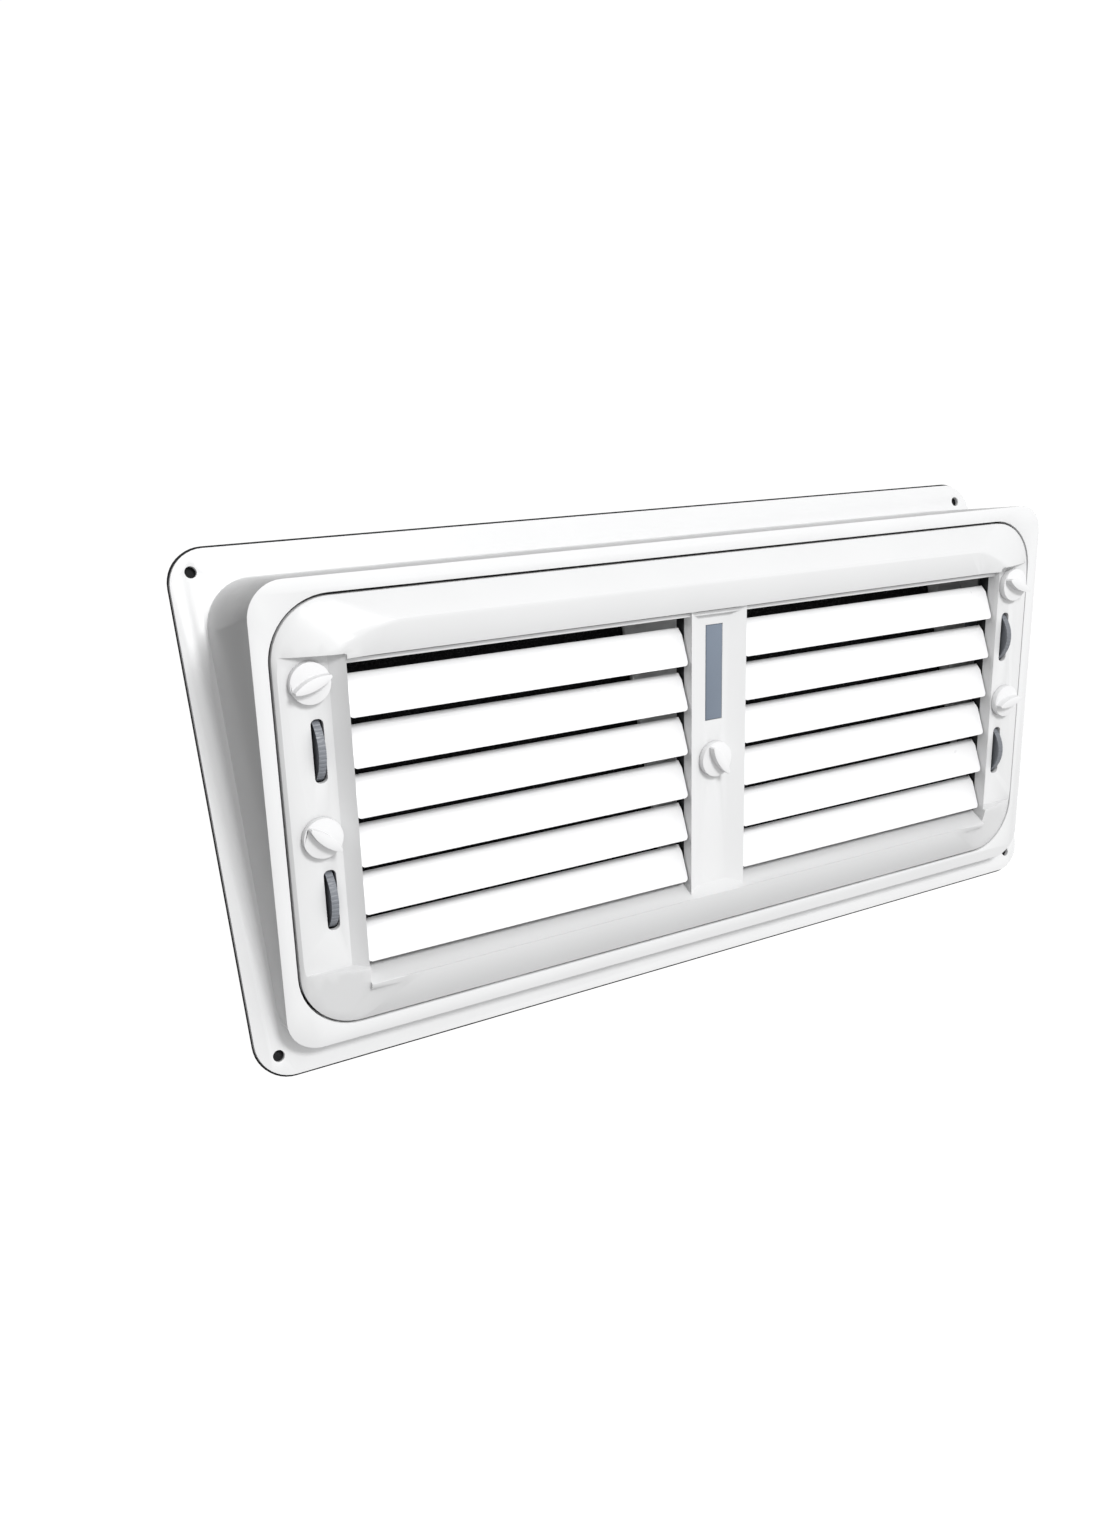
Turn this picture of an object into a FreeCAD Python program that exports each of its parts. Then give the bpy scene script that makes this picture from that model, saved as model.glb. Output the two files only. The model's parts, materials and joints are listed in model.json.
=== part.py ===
import FreeCAD, Part
import math
import os

import Sketcher

from FreeCAD import Placement, Rotation, Vector

# Louvred air grille: a wedge-shaped housing screwed to a wall, with a removable front panel,
# two banks of linked blades set by thumb wheels, and quarter-turn latches.
#
# Row frame: origin at the centre of the wall face of the gasket, -Y into the room, +Z up.
# Face frame: the same X, with its XZ plane on the rim of the housing, leaning by face_lean.

SIZES = {
    # wall side
    "flange_width": 600.0,
    "flange_height": 293.0,
    "flange_radius": 21.0,
    "flange_thick": 3.0,
    "gasket_thick": 3.0,
    "gasket_over": 1.4,
    "screw_inset": 12.5,
    "screw_hole": 3.25,
    "collar_width": 520.0,
    "collar_height": 225.0,
    "collar_wall": 2.5,
    "collar_radius": 15.0,
    "collar_depth": 45.0,
    "collar_drop": 3.0,
    "filter_thick": 25.0,
    "filter_gap": 0.5,
    "filter_lip": 6.0,
    # housing
    "face_lean": 15.57,
    "face_forward": 51.9,
    "face_drop": 9.0,
    "foot_width": 568.0,
    "foot_height": 263.5,
    "foot_drop": 3.25,
    "foot_radius": 28.0,
    "rim_width": 569.0,
    "rim_height": 258.0,
    "rim_radius": 19.5,
    "housing_wall": 3.0,
    # front panel
    "panel_width": 549.0,
    "panel_height": 237.0,
    "panel_radius": 33.0,
    "panel_gap": 1.5,
    "skirt_depth": 6.0,
    "skirt_wall": 3.0,
    "floor_back": 1.0,
    "seal_thick": 1.0,
    "seal_inset": 0.35,
    "ledge_thick": 2.0,
    "ledge_width": 10.0,
    "ridge_width": 530.0,
    "ridge_top": 104.5,
    "ridge_bottom": 94.0,
    "ridge_rise": 11.0,
    "ridge_radius": 60.0,
    "opening_half": 238.0,
    "opening_top": 87.0,
    "opening_rise": 8.5,
    "header_slit": 1.1,
    "header_height": 2.1,
    "header_rise": 5.0,
    "strip_inner": 245.6,
    "strip_rise": 2.0,
    "strip_bottom": 84.0,
    "mullion_half": 20.5,
    "mullion_floor_half": 11.5,
    "mullion_rise": 7.0,
    "mullion_floor_rise": 1.5,
    "lens_width": 12.3,
    "lens_height": 59.0,
    "lens_height_centre": 47.15,
    "lens_gap": 0.2,
    # blades and their drive
    "blade_pitch": 27.6,
    "blade_top_pivot": 66.6,
    "blade_pivot_depth": 4.0,
    "blade_thick": 2.0,
    "blade_forward": 9.0,
    "blade_drop": 12.0,
    "knee_forward": 2.04,
    "knee_rise": 5.6,
    "tail_depth": 2.0,
    "tail_rise": 9.5,
    "blade_gap": 0.8,
    "pin_radius": 1.6,
    "crank_pin_radius": 1.4,
    "running_gap": 0.05,
    "cheek_thick": 2.6,
    "cheek_gap": 0.6,
    "cheek_depth": 8.5,
    "crank_arm": 8.0,
    "crank_lead": 12.5,
    "link_thick": 2.0,
    "link_gap": 0.9,
    "wheel_radius": 20.0,
    "wheel_width": 5.0,
    "wheel_across": 254.0,
    "wheel_depth": 13.0,
    "wheel_slot_gap": 1.0,
    "wheel_end_gap": 1.25,
    "wheel_slot_radius": 3.0,
    "wheel_hub": 3.0,
    "bracket_gap": 1.1,
    "bracket_thick": 5.0,
    # latches
    "knob_side_gap": 0.4,
    "latch_below_top": 11.0,
    "latch_below_middle": 4.6,
    "knob_radius": 11.0,
    "knob_thick": 4.0,
    "knob_gap": 0.3,
    "grip_rise": 5.0,
    "grip_curve": 25.0,
    "grip_half": 3.0,
    "shaft_radius": 4.0,
    "boss_radius": 7.0,
    "boss_depth": 8.0,
    "side_cam_depth": 17.5,
    "centre_cam_depth": 33.5,
    "cam_thick": 3.0,
    "cam_radius": 6.0,
    "cam_half": 4.0,
    "side_cam_reach": 20.0,
    "centre_cam_reach": 13.0,
    "ring_gap": 0.5,
    "ring_thick": 1.2,
    "ring_radius": 6.0,
}

doc = FreeCAD.newDocument("grille")
sheet = doc.addObject("Spreadsheet::Sheet", "Sizes")
for row, (alias, value) in enumerate(SIZES.items(), start=1):
    sheet.set(f"A{row}", alias)
    sheet.set(f"B{row}", str(value))
    sheet.setAlias(f"B{row}", alias)
doc.recompute()

nodes = []
TOLERANCE = 1e-6


def size(alias):
    """A size read back from the sheet."""
    return float(sheet.get(alias))


def cells(text):
    """An expression with every size name turned into a reference to its cell."""
    for alias in sorted(SIZES, key=len, reverse=True):
        text = text.replace(alias, "#" + str(list(SIZES).index(alias)) + "#")
    for number, alias in enumerate(SIZES):
        text = text.replace("#" + str(number) + "#", "Sizes." + alias)
    return text


FACE = Placement(
    Vector(0, -size("face_forward"), -size("face_drop")),
    Rotation(Vector(1, 0, 0), size("face_lean")),
)


def on_face(across=0.0, depth=0.0, height=0.0, turn=0.0):
    """A place in the face frame; turn is counter-clockwise as seen from the room."""
    local = Placement(Vector(across, depth, height), Rotation(Vector(0, -1, 0), turn))
    return FACE.multiply(local)


def keep(piece, label, place=None):
    """Name a finished sub-part, put it in its place and list it for export."""
    piece.Label = label
    if place is not None:
        piece.Placement = place
    nodes.append(piece)
    return piece


# ---------------------------------------------------------------- primitives and bodies


def bind(piece, bindings):
    """Tie properties of a document object to expressions on the sheet."""
    for path, text in bindings.items():
        piece.setExpression(path, cells(str(text)))


def box(name, corner, lengths):
    """A box from the expressions of its lowest corner and its three lengths."""
    piece = doc.addObject("Part::Box", name)
    bind(piece, {"Length": lengths[0], "Width": lengths[1], "Height": lengths[2]})
    bind(piece, {"Placement.Base." + axis: text for axis, text in zip("xyz", corner)})
    return piece


def rod(name, radius, length, start):
    """A cylinder that runs along +Y from the expressions of its start."""
    piece = doc.addObject("Part::Cylinder", name)
    piece.Placement = Placement(Vector(0, 0, 0), Rotation(Vector(1, 0, 0), -90))
    bind(piece, {"Radius": radius, "Height": length})
    bind(piece, {"Placement.Base." + axis: text for axis, text in zip("xyz", start)})
    return piece


def cut(name, base, tool):
    """The base with the tool taken away."""
    piece = doc.addObject("Part::Cut", name)
    piece.Base = base
    piece.Tool = tool
    return piece


def fuse(name, pieces):
    """Several pieces joined into one."""
    piece = doc.addObject("Part::MultiFuse", name)
    piece.Shapes = pieces
    return piece


def new_body(name):
    """An empty PartDesign body."""
    return doc.addObject("PartDesign::Body", name)


def new_sketch(body, name, plane, level="0", turn=0.0):
    """A sketch on one of the body's own planes, level mm along its normal."""
    sketch = body.newObject("Sketcher::SketchObject", name)
    planes = [item for item in body.Origin.OriginFeatures if item.Role == plane]
    sketch.AttachmentSupport = [(planes[0], "")]
    sketch.MapMode = "FlatFace"
    sketch.AttachmentOffset = Placement(Vector(0, 0, 0), Rotation(Vector(0, 0, 1), turn))
    bind(sketch, {"AttachmentOffset.Base.z": level})
    return sketch


def number(text):
    """The value of an expression on the sheet's sizes, to draw a sketch near its final shape."""
    for alias in sorted(SIZES, key=len, reverse=True):
        text = text.replace(alias, "(" + repr(SIZES[alias]) + ")")
    total = doc.addObject("App::FeaturePython", "Scratch")
    total.addProperty("App::PropertyFloat", "Value")
    total.setExpression("Value", text)
    total.recompute()
    value = total.Value
    doc.removeObject(total.Name)
    return value


def polygon(sketch, corners):
    """Draw a closed outline whose corners are pairs of expressions."""
    drawn = [(number(a), number(b)) for a, b in corners]
    first = sketch.GeometryCount
    for index, start in enumerate(drawn):
        end = drawn[(index + 1) % len(drawn)]
        sketch.addGeometry(Part.LineSegment(Vector(*start, 0), Vector(*end, 0)), False)
    for index in range(len(drawn)):
        follower = first + (index + 1) % len(drawn)
        sketch.addConstraint(Sketcher.Constraint("Coincident", first + index, 2, follower, 1))
    for index, (start, texts) in enumerate(zip(drawn, corners)):
        for kind, value, text in zip(("DistanceX", "DistanceY"), start, texts):
            made = sketch.addConstraint(
                Sketcher.Constraint(kind, -1, 1, first + index, 1, value)
            )
            sketch.setExpression(f"Constraints[{made}]", cells(text))


def circle(sketch, across, up, radius):
    """Draw a circle from the expressions of its centre and radius."""
    centre = Vector(number(across), number(up), 0)
    made = sketch.addGeometry(Part.Circle(centre, Vector(0, 0, 1), number(radius)), False)
    wanted = (
        ("Radius", (made,), number(radius), radius),
        ("DistanceX", (-1, 1, made, 3), centre.x, across),
        ("DistanceY", (-1, 1, made, 3), centre.y, up),
    )
    for kind, places, value, text in wanted:
        index = sketch.addConstraint(Sketcher.Constraint(kind, *places, value))
        sketch.setExpression(f"Constraints[{index}]", cells(text))


def pad(body, sketch, length, reverse=False):
    """Pad a sketch along its normal, or against it."""
    feature = body.newObject("PartDesign::Pad", sketch.Name + "_pad")
    feature.Profile = sketch
    bind(feature, {"Length": length})
    feature.Reversed = reverse
    return feature


def pocket(body, sketch, length, reverse=False):
    """Pocket a sketch against its normal, or along it."""
    feature = body.newObject("PartDesign::Pocket", sketch.Name + "_pocket")
    feature.Profile = sketch
    bind(feature, {"Length": length})
    feature.Reversed = reverse
    return feature


def round_corners(body, feature, radius, inner=False):
    """Round the four outer or inner edges that run along the body's Y axis."""
    doc.recompute()
    box_x = feature.Shape.BoundBox.XMax - TOLERANCE
    box_z = feature.Shape.BoundBox.ZMax - TOLERANCE
    names = []
    for index, edge in enumerate(feature.Shape.Edges, start=1):
        start = edge.firstVertex().Point
        along = edge.lastVertex().Point - start
        upright = abs(along.x) < TOLERANCE and abs(along.z) < TOLERANCE
        on_side = abs(start.x) > box_x
        on_end = abs(start.z) > box_z
        wanted = not (on_side or on_end) if inner else on_side and on_end
        if upright and wanted:
            names.append(f"Edge{index}")
    rounded = body.newObject("PartDesign::Fillet", feature.Name + "_round")
    rounded.Base = (feature, names)
    bind(rounded, {"Radius": radius})
    return rounded


def rectangle(half_width, low, high):
    """The corners of an upright rectangle, centred across."""
    return [
        (f"-({half_width})", low),
        (half_width, low),
        (half_width, high),
        (f"-({half_width})", high),
    ]


# ---------------------------------------------------------------- lofted shells


def outline(width, height, radius, centre, place):
    """A rounded rectangle in the XZ plane of a placement."""
    half_x = width / 2
    half_z = height / 2
    straight_x = half_x - radius
    straight_z = half_z - radius
    slant = radius * math.sqrt(0.5)
    corners = [
        ((half_x, straight_z), (straight_x + slant, straight_z + slant), (straight_x, half_z)),
        ((-straight_x, half_z), (-straight_x - slant, straight_z + slant), (-half_x, straight_z)),
        ((-half_x, -straight_z), (-straight_x - slant, -straight_z - slant), (-straight_x, -half_z)),
        ((straight_x, -half_z), (straight_x + slant, -straight_z - slant), (half_x, -straight_z)),
    ]
    edges = []
    for index, corner in enumerate(corners):
        points = [Vector(x, 0, centre + z) for x, z in corner]
        following = corners[(index + 1) % 4][0]
        edges.append(Part.Arc(*points).toShape())
        edges.append(Part.makeLine(points[2], Vector(following[0], 0, centre + following[1])))
    wire = Part.Wire(edges)
    wire.Placement = place
    return wire


def loft(first, second):
    """A solid with straight sides between two outlines."""
    return Part.makeLoft([first, second], True, True)


def slab(width, height, radius, centre, place, front, back):
    """A rounded rectangle from one depth to another in a placement."""
    ends = [place.multiply(Placement(Vector(0, depth, 0), Rotation())) for depth in (front, back)]
    return loft(*[outline(width, height, radius, centre, end) for end in ends])


def block(low, high, place=None):
    """A box between two corners, in a placement."""
    lengths = [b - a for a, b in zip(low, high)]
    shape = Part.makeBox(*lengths, Vector(*low))
    if place is not None:
        shape.Placement = place.multiply(shape.Placement)
    return shape


def prism(points, travel):
    """A solid from a closed run of points moved along a vector."""
    corners = [Vector(*point) for point in points]
    face = Part.Face(Part.makePolygon(corners + corners[:1]))
    return face.extrude(Vector(*travel))


def along_x(points, half):
    """A prism across the panel from (depth, height) points."""
    return prism([(-half, depth, height) for depth, height in points], (2 * half, 0, 0))


def latch_heights():
    """The height of the upper latches, and of those between the two wheels."""
    wheels = wheel_heights()
    middle = (wheels["upper"] + wheels["lower"]) / 2
    return {"upper": size("opening_top") - size("latch_below_top"),
            "lower": middle - size("latch_below_middle")}


def latch_across():
    """How far the side latches stand from the middle, clear of the side bands."""
    return size("strip_inner") + size("knob_radius") + size("knob_side_gap")


def latch_places():
    """Name, across, height, floor depth, cam depth, cam reach and way out of each latch."""
    side = ("side_cam_depth", "side_cam_reach")
    heights = latch_heights()
    rows = []
    for name, way in (("left", -1), ("right", 1)):
        for level in ("upper", "lower"):
            rows.append((f"{name}_{level}", way * latch_across(), heights[level],
                         -size("strip_rise"), side[0], side[1], way))
    rows.append(("centre", 0.0, heights["lower"], -size("mullion_floor_rise"),
                 "centre_cam_depth", "centre_cam_reach", -1))
    return rows


def wheel_heights():
    """The height of each thumb wheel, level with the middle blade of its group of three."""
    middle = size("blade_top_pivot") - size("blade_pitch")
    return {"upper": middle, "lower": middle - 3 * size("blade_pitch")}


def wall_frame():
    """Flange plate, duct collar and the leaning housing with its rim, seal ledge and keepers."""
    wall = size("housing_wall")
    back = -size("gasket_thick")
    front = back - size("flange_thick")
    flat = Placement()
    foot_place = Placement(Vector(0, front, 0), Rotation())
    foot = (size("foot_width"), size("foot_height"), size("foot_radius"))
    rim = (size("rim_width"), size("rim_height"), size("rim_radius"))
    foot_inner = (foot[0] - 2 * wall, foot[1] - 2 * wall, foot[2] - wall)
    rim_inner = (rim[0] - 2 * wall, rim[1] - 2 * wall, rim[2] - wall)
    drop = -size("foot_drop")
    outer = loft(outline(*foot, drop, foot_place), outline(*rim, 0, FACE))
    behind_lip = on_face(depth=wall)
    cavity = loft(outline(*foot_inner, drop, foot_place), outline(*rim_inner, 0, behind_lip))
    gap = size("panel_gap")
    mouth = (size("panel_width") + 2 * gap, size("panel_height") + 2 * gap,
             size("panel_radius") + gap)
    shell = outer.cut(cavity).cut(slab(*mouth, 0, FACE, -1, wall + 1))

    ledge_front = size("skirt_depth") + size("seal_thick")
    ledge_back = ledge_front + size("ledge_thick")
    inner = [value - 2 * size("ledge_width") for value in mouth[:2]]
    inner.append(mouth[2] - size("ledge_width"))
    ledge = slab(*[2 * value for value in rim[:2]], rim[2], 0, FACE, ledge_front, ledge_back)
    ledge = ledge.common(outer).cut(slab(*inner, 0, FACE, ledge_front - 1, ledge_back + 1))
    shell = shell.fuse(ledge)

    plate = slab(size("flange_width"), size("flange_height"), size("flange_radius"), 0, flat,
                 front, back)
    collar_drop = -size("collar_drop")
    collar = (size("collar_width"), size("collar_height"), size("collar_radius"))
    thin = size("collar_wall")
    bore = (collar[0] - 2 * thin, collar[1] - 2 * thin, collar[2] - thin)
    deep = size("collar_depth")
    plate = plate.fuse(slab(*collar, collar_drop, flat, front, deep))
    plate = plate.cut(slab(*bore, collar_drop, flat, front - 1, deep + 1))
    lip = size("filter_lip")
    lip_front = filter_span()[1] + size("filter_gap")
    lip_ring = slab(*collar, collar_drop, flat, lip_front, lip_front + 2)
    lip_hole = (bore[0] - 2 * lip, bore[1] - 2 * lip, bore[2] - lip)
    plate = plate.fuse(lip_ring.cut(slab(*lip_hole, collar_drop, flat, 0, deep)))
    bar_half = size("mullion_half")
    bar = block((-bar_half, front, collar_drop - bore[1] / 2 - 1),
                (bar_half, back, collar_drop + bore[1] / 2 + 1))
    frame = plate.fuse(shell).fuse(bar)
    frame = frame.fuse(keepers(front))

    inset = size("screw_inset")
    for side in (-1, 1):
        for end in (-1, 1):
            spot = Vector(side * (size("flange_width") / 2 - inset), front - 1,
                          end * (size("flange_height") / 2 - inset))
            hole = Part.makeCylinder(size("screw_hole"), size("flange_thick") + 2, spot,
                                     Vector(0, 1, 0))
            frame = frame.cut(hole)
    piece = doc.addObject("Part::Feature", "wall_frame")
    piece.Shape = frame.removeSplitter()
    return keep(piece, "wall_frame")


def keepers(front):
    """The ledges that the latch cams turn behind, four on the side walls and one on the bar."""
    half = size("boss_radius")
    thick = size("housing_wall")
    made = []
    for name, across, height, floor, cam_depth, cam_reach, way in latch_places():
        near = size(cam_depth) - 0.5
        if name == "centre":
            lean = math.radians(size("face_lean"))
            bar_depth = (front + size("face_forward") + height * math.sin(lean)) / math.cos(lean)
            end = way * size("mullion_half")
            post_end = end - way * 5
            made.append(block((min(end, post_end), near - thick, height - half),
                              (max(end, post_end), bar_depth + 1, height + half), FACE))
            tip = way * (size(cam_reach) - 5)
        else:
            end = way * (size("rim_width") / 2 - thick / 2)
            tip = way * (latch_across() + size(cam_reach) - 6)
        made.append(block((min(end, tip), near - thick, height - half),
                          (max(end, tip), near, height + half), FACE))
    return made


def filter_span():
    """The front and back of the foam pad inside the collar."""
    front = size("filter_gap")
    return front, front + size("filter_thick")


def louvre_panel():
    """The removable front: a raised body with side strips, louvre openings and a mullion."""
    base = (size("panel_width"), size("panel_height"), size("panel_radius"))
    ridge_height = size("ridge_top") + size("ridge_bottom")
    ridge_centre = (size("ridge_top") - size("ridge_bottom")) / 2
    ridge = (size("ridge_width"), ridge_height, size("ridge_radius"))
    rise = size("ridge_rise")
    floor_back = size("floor_back")
    at_ridge = Placement(Vector(0, -rise, 0), Rotation())
    panel = loft(outline(*base, 0, Placement()), outline(*ridge, ridge_centre, at_ridge))
    wall = size("skirt_wall")
    hollow = [base[0] - 2 * wall, base[1] - 2 * wall, base[2] - wall]
    deep = size("skirt_depth")
    skirt = slab(*base, 0, Placement(), 0, deep)
    skirt = skirt.cut(slab(*hollow, 0, Placement(), floor_back, deep + 1))
    panel = panel.fuse(skirt)

    open_half = size("opening_half")
    open_top = size("opening_top")
    open_rise = size("opening_rise")
    bottom = size("ridge_bottom")
    lip = 1.0
    dish_wide = outline(ridge[0] - 2 * lip, ridge[1] - 2 * lip, ridge[2] - lip, ridge_centre,
                        Placement(Vector(0, -rise - 0.2, 0), Rotation()))
    dish_narrow = outline(2 * open_half, open_top + bottom - lip, 20.0,
                          (open_top - bottom + lip) / 2,
                          Placement(Vector(0, -open_rise, 0), Rotation()))
    panel = panel.cut(loft(dish_wide, dish_narrow))
    panel = panel.cut(block((-open_half, -rise - 1, -bottom), (open_half, deep + 1, open_top)))

    strip = size("strip_inner")
    strip_rise = size("strip_rise")
    strip_low = -size("strip_bottom")
    edge = base[0] / 2 + 10
    crease_low = open_top + 1.5
    crease_high = crease_low + (edge - open_half) * 0.64
    for side in (-1, 1):
        section = [(strip, -strip_rise), (open_half, -open_rise), (open_half, -rise - 9),
                   (edge, -rise - 9), (edge, -strip_rise)]
        across = prism([(side * x, y, strip_low) for x, y in section], (0, 0, 2 * open_top))
        view = [(open_half - 1, strip_low), (edge, strip_low), (edge, crease_high),
                (open_half - 1, crease_low)]
        up = prism([(side * x, -rise - 9, z) for x, z in view], (0, rise + 20, 0))
        panel = panel.cut(across.common(up))

    skin = 3.0
    top = size("ridge_top")
    half_height = base[1] / 2
    clear = open_half - 13
    panel = panel.cut(along_x([(floor_back + 1, half_height - 6), (skin + 0.5 - rise, top - skin),
                               (skin - open_rise, open_top + 4), (floor_back + 1, open_top + 4)],
                              clear))
    panel = panel.cut(along_x([(floor_back + 1, 6 - half_height),
                               (skin + 1 - rise, -bottom - 5),
                               (floor_back + 1, -bottom - 5)], clear))

    sill_back = floor_back + 5
    sill = along_x([(0.5 - rise, -bottom - 0.4), (sill_back, strip_low - 1),
                    (sill_back, -bottom - 4), (2 - rise, -bottom - 4)], open_half)
    header_top = open_top - size("header_slit")
    header_low = header_top - size("header_height")
    header = block((-open_half - 0.5, -size("header_rise"), header_low),
                   (open_half + 0.5, floor_back, header_top))
    half = size("mullion_half")
    floor_half = size("mullion_floor_half")
    crest = -size("mullion_rise")
    valley = -size("mullion_floor_rise")
    mullion = prism([(-half, crest, -bottom), (-floor_half, valley, -bottom),
                     (floor_half, valley, -bottom), (half, crest, -bottom),
                     (half, floor_back, -bottom), (-half, floor_back, -bottom)],
                    (0, 0, bottom + open_top + 1))
    for extra in (sill, header, mullion):
        panel = panel.fuse(extra)

    for name, across, height, floor, cam_depth, cam_reach, way in latch_places():
        start = Vector(across, floor_back - 0.5, height)
        boss = Part.makeCylinder(size("boss_radius"), size("boss_depth") - floor_back + 0.5,
                                 start, Vector(0, 1, 0))
        bore = Part.makeCylinder(size("shaft_radius") + size("running_gap"), 40,
                                 Vector(across, -20, height), Vector(0, 1, 0))
        panel = panel.fuse(boss).cut(bore)

    slot_half = size("wheel_width") / 2 + size("wheel_slot_gap")
    reach = size("wheel_depth") - floor_back
    chord = math.sqrt(size("wheel_radius") ** 2 - reach ** 2)
    slot_tall = chord + size("wheel_end_gap")
    for side in (-1, 1):
        centre = side * size("wheel_across")
        for height in wheel_heights().values():
            middle = Placement(Vector(centre, 0, height), Rotation())
            panel = panel.cut(slab(2 * slot_half, 2 * slot_tall, size("wheel_slot_radius"), 0,
                                   middle, -rise, deep))
    window = size("lens_width") / 2 + size("lens_gap")
    window_tall = size("lens_height") / 2 + size("lens_gap")
    middle = size("lens_height_centre")
    panel = panel.cut(block((-window, -rise, middle - window_tall),
                            (window, deep, middle + window_tall)))
    hook_front = size("housing_wall") + 0.3
    for across in (-150, 150):
        hook = block((across - 15, hook_front, -half_height - size("panel_gap") - 3),
                     (across + 15, deep, wall - half_height))
        panel = panel.fuse(hook)
    piece = doc.addObject("Part::Feature", "louvre_panel")
    piece.Shape = panel.removeSplitter()
    return keep(piece, "louvre_panel", FACE)


# ---------------------------------------------------------------- seals, filter and lens


def wall_gasket():
    """Foam gasket between the flange and the wall, with the flange's outline and holes."""
    body = new_body("wall_gasket_body")
    half_width = "flange_width / 2"
    half_height = "flange_height / 2 + gasket_over"
    face = new_sketch(body, "gasket_outline", "XZ_Plane")
    polygon(face, rectangle(half_width, f"-({half_height})", half_height))
    sheet_pad = pad(body, face, "gasket_thick")
    round_corners(body, sheet_pad, "flange_radius")
    window = new_sketch(body, "gasket_window", "XZ_Plane", "gasket_thick + 1")
    polygon(window, rectangle("collar_width / 2 + filter_gap",
                              "-(collar_drop + collar_height / 2 + filter_gap)",
                              "collar_height / 2 + filter_gap - collar_drop"))
    pocket(body, window, "gasket_thick + 2")
    holes = new_sketch(body, "gasket_holes", "XZ_Plane", "gasket_thick + 1")
    for side in ("-1", "1"):
        for end in ("-1", "1"):
            circle(holes, f"{side} * (flange_width / 2 - screw_inset)",
                   f"{end} * (flange_height / 2 - screw_inset)", "screw_hole")
    pocket(body, holes, "gasket_thick + 2")
    return keep(body, "wall_gasket")


def panel_seal():
    """Thin foam ring on the housing's ledge, which the panel's skirt presses on."""
    body = new_body("panel_seal_body")
    face = new_sketch(body, "seal_outline", "XZ_Plane")
    polygon(face, rectangle("panel_width / 2 + panel_gap - seal_inset",
                            "-(panel_height / 2 + panel_gap - seal_inset)",
                            "panel_height / 2 + panel_gap - seal_inset"))
    pad(body, face, "seal_thick")
    inner = new_sketch(body, "seal_inner", "XZ_Plane", "seal_thick + 1")
    polygon(inner, rectangle("panel_width / 2 - ledge_width + 1.5",
                             "-(panel_height / 2 - ledge_width + 1.5)",
                             "panel_height / 2 - ledge_width + 1.5"))
    ring = pocket(body, inner, "seal_thick + 2")
    outside = round_corners(body, ring, "panel_radius + panel_gap - seal_inset")
    round_corners(body, outside, "panel_radius - ledge_width + 1.5", inner=True)
    return keep(body, "panel_seal", on_face(depth=size("skirt_depth") + size("seal_thick")))


def filter_pad():
    """Foam filter inside the duct collar, held by the collar's lip."""
    inside = "collar_wall + filter_gap"
    foam = box("filter_foam",
               (f"-(collar_width / 2) + {inside}", "filter_gap",
                f"-(collar_height / 2) + {inside} - collar_drop"),
               (f"collar_width - 2 * ({inside})", "filter_thick",
                f"collar_height - 2 * ({inside})"))
    rounded = doc.addObject("Part::Fillet", "filter_round")
    rounded.Base = foam
    doc.recompute()
    radius = size("collar_radius") - size("collar_wall")
    edges = []
    for index, edge in enumerate(foam.Shape.Edges, start=1):
        along = edge.lastVertex().Point - edge.firstVertex().Point
        if abs(along.x) < TOLERANCE and abs(along.z) < TOLERANCE:
            edges.append((index, radius, radius))
    rounded.Edges = edges
    return keep(rounded, "filter_pad")


def indicator_lens():
    """Tinted window set in the mullion from behind, with a flange against its back."""
    window = box("lens_window", ("-(lens_width / 2)", "-mullion_floor_rise - 0.4",
                                 "lens_height_centre - lens_height / 2"),
                 ("lens_width", "floor_back + mullion_floor_rise + 0.9", "lens_height"))
    flange = box("lens_flange", ("-(lens_width / 2) - 2", "floor_back",
                                 "lens_height_centre - lens_height / 2 - 2"),
                 ("lens_width + 4", "1.5", "lens_height + 4"))
    return keep(fuse("lens", [window, flange]), "indicator_lens", FACE)


# ---------------------------------------------------------------- blades and their drive


def bank(side):
    """The name of a bank of blades."""
    return "left" if side < 0 else "right"


def bearing_cheek(name, side, near):
    """Upright strip behind the panel with a bearing hole for each blade of a bank."""
    body = new_body(name + "_body")
    start = near if side > 0 else f"({near} + cheek_thick)"
    face = new_sketch(body, name + "_outline", "YZ_Plane", f"{side} * {start}")
    low = "-strip_bottom"
    high = "opening_top - 3"
    polygon(face, [("floor_back", low), ("floor_back + cheek_depth", low),
                   ("floor_back + cheek_depth", high), ("floor_back", high)])
    pad(body, face, "cheek_thick")
    holes = new_sketch(body, name + "_holes", "YZ_Plane", f"{side} * {start} - 1")
    for number_down in range(6):
        circle(holes, "blade_pivot_depth", f"blade_top_pivot - {number_down} * blade_pitch",
               "pin_radius + running_gap")
    pocket(body, holes, "cheek_thick + 2", reverse=True)
    return keep(body, name, FACE)


# Outline of a blade about its pivot: straight from the lower edge to the knee, then bent back.
BLADE_SECTION = [
    ("-blade_forward", "-blade_drop"),
    ("0.93 * blade_thick - blade_forward", "-blade_drop"),
    ("0.85 * blade_thick - knee_forward", "knee_rise - 0.5 * blade_thick"),
    ("tail_depth + 0.69 * blade_thick", "tail_rise - 0.72 * blade_thick"),
    ("tail_depth", "tail_rise"),
    ("-knee_forward", "knee_rise"),
]
LUG_SECTION = [("-6", "-6.5"), ("-2.2", "3.5"), ("2.4", "2.4"), ("2.4", "-2.4")]


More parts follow.
